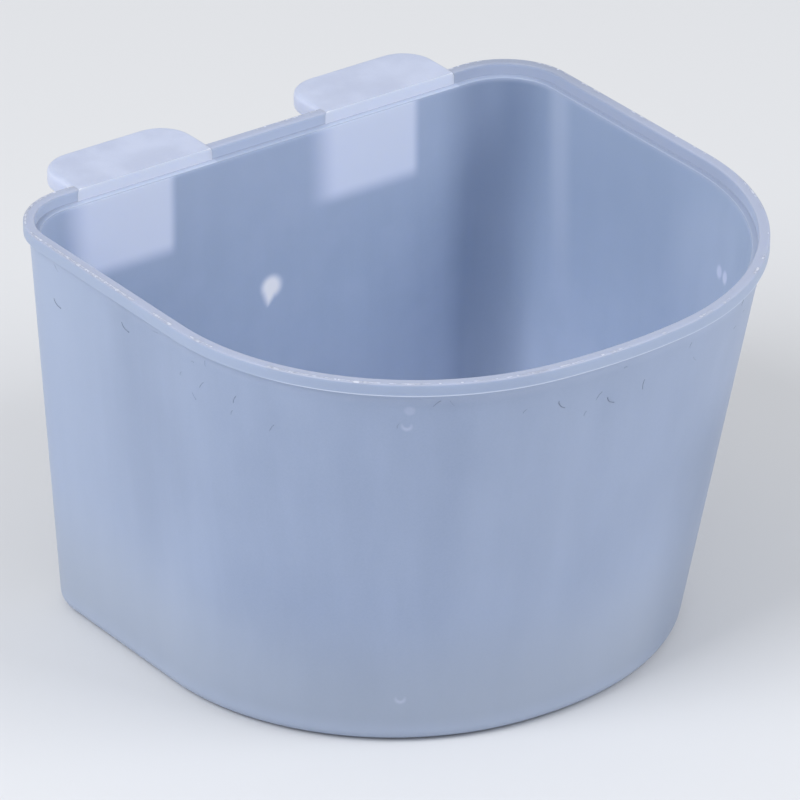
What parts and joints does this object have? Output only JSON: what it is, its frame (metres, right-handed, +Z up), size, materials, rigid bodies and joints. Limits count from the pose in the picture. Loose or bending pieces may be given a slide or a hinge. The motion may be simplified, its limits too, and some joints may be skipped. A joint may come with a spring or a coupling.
{
  "type": "seed cup",
  "caption": "D-shaped translucent plastic seed cup with a flat back, tapered walls, a stepped rim collar and hook tabs that hang it on cage wire.",
  "frame": {"origin": "middle of the bounding box in X and Y, on the plane that the base stands on", "axes": "+Z up out of the mouth, +Y towards the flat back and its hooks, X across the cup"},
  "size_m": [0.1, 0.1028, 0.0684],
  "materials": {
    "milky_plastic": "satin, milky and translucent, faintly blue grey"
  },
  "bodies": {
    "root": {"cup_floor": "milky_plastic", "curved_wall": "milky_plastic", "back_wall": "milky_plastic", "rim_collar": "milky_plastic", "left_hook_tab": "milky_plastic", "right_hook_tab": "milky_plastic", "left_hook_leg": "milky_plastic", "right_hook_leg": "milky_plastic"}
  },
  "joints": []
}
